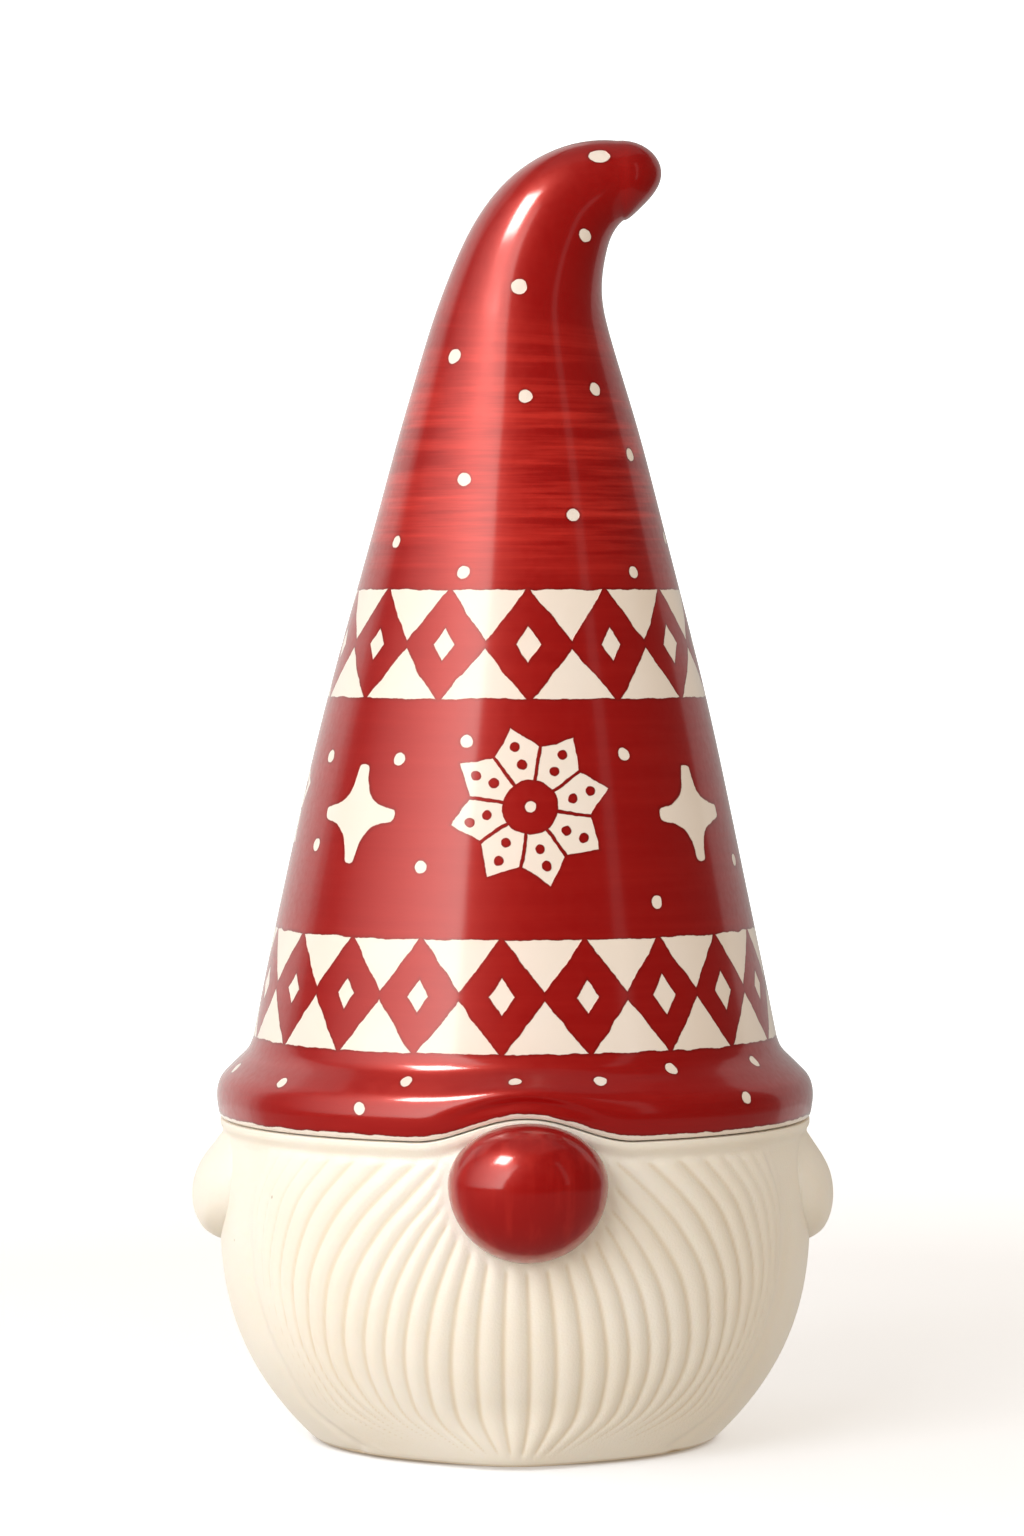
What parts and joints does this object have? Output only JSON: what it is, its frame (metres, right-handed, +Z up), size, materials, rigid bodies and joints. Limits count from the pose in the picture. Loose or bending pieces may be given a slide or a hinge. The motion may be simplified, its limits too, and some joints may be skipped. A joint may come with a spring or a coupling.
{
  "type": "tomte gnome figurine",
  "caption": "Glazed ceramic gnome jar with a fluted cream beard, a red ball nose and a tall curled red hat that lifts off as the lid.",
  "frame": {"origin": "middle of the underside of the felt disc under the base, on the axis of the jar", "axes": "+Z up through the hat, -Y the way the face looks, +X the side the hat's tip curls to"},
  "size_m": [0.1479, 0.155, 0.301],
  "materials": {
    "cream_glaze": "satin",
    "red_glaze": "gloss",
    "silicone": "matte",
    "felt": "matte"
  },
  "bodies": {
    "jar": {"jar_body": "cream_glaze", "nose": "red_glaze", "ear_left": "cream_glaze", "ear_right": "cream_glaze", "base_felt": "felt"},
    "hat": {"hat_lid": "red_glaze", "lid_seal": "silicone"}
  },
  "joints": [
    {"name": "hat_lift", "type": "slide", "parent": "jar", "child": "hat", "axis": [0, 0, 1], "range_m": [0, 0.15]}
  ]
}
